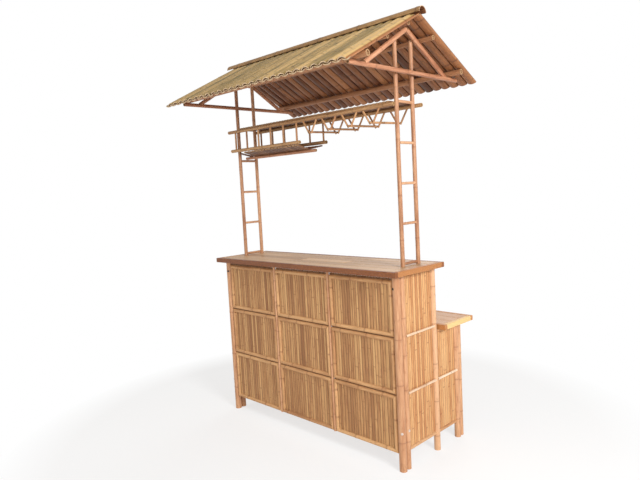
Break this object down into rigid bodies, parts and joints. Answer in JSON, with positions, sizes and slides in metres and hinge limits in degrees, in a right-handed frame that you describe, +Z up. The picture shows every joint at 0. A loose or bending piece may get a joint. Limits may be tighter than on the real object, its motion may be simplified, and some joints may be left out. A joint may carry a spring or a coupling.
{
  "type": "bamboo tiki bar with ladder frames, pitched roof and bottle rack",
  "caption": "Free-standing bamboo bar: panelled counter with a serving shelf behind, ladder frames carrying a pitched split-culm roof, and a rack for bottles and glasses.",
  "frame": {"origin": "centre of the bar's length and of the roof's depth, at floor level", "axes": "+X along the bar to the right as a customer sees it, +Y from the customers' side to the bartender's side, +Z up"},
  "size_m": [1.616, 1.11, 2.3961],
  "materials": {
    "base_culm": "oiled bamboo, satin",
    "ladder_culm": "oiled bamboo, satin",
    "split_slat": "oiled bamboo, satin",
    "frame_culm": "oiled bamboo, satin",
    "thin_culm": "oiled bamboo, satin",
    "counter_board": "stained boards, satin",
    "shelf_board": "stained boards, satin",
    "roof_pole": "oiled bamboo, satin",
    "roof_culm": "oiled bamboo, satin",
    "rack_culm": "oiled bamboo, satin"
  },
  "bodies": {
    "root": {"corner_post_left": "base_culm", "corner_post_right": "base_culm", "side_poles_left": "base_culm", "side_poles_right": "base_culm", "front_slat_panels": "split_slat", "front_frames_upper": "frame_culm", "front_frames_middle": "frame_culm", "front_frames_lower": "frame_culm", "front_dividers": "thin_culm", "counter_bearer": "thin_culm", "side_slats_left": "split_slat", "side_slats_right": "split_slat", "side_rails_left": "thin_culm", "side_rails_right": "thin_culm", "counter_top": "counter_board", "serving_shelf": "shelf_board", "ladder_front_pole_left": "ladder_culm", "ladder_front_pole_right": "ladder_culm", "ladder_back_pole_left": "ladder_culm", "ladder_back_pole_right": "ladder_culm", "ladder_rungs_left": "thin_culm", "ladder_rungs_right": "thin_culm", "truss_chord_left": "roof_pole", "truss_chord_right": "roof_pole", "front_rafter_left": "roof_pole", "front_rafter_right": "roof_pole", "back_rafter_left": "roof_pole", "back_rafter_right": "roof_pole", "ridge_pole": "roof_pole", "front_low_purlin": "roof_pole", "front_high_purlin": "roof_pole", "back_low_purlin": "roof_pole", "back_high_purlin": "roof_pole", "roof_front": "roof_culm", "roof_back": "roof_culm", "ridge_cap": "roof_culm", "rack_top_rails": "rack_culm", "bottle_shelf_rails": "rack_culm", "bottle_shelf_keel": "rack_culm", "bottle_shelf_floor": "rack_culm", "bottle_shelf_balusters": "rack_culm", "rack_top_deck": "rack_culm", "glass_hangers_front": "rack_culm", "glass_hangers_back": "rack_culm", "glass_runners": "rack_culm"}
  },
  "joints": []
}
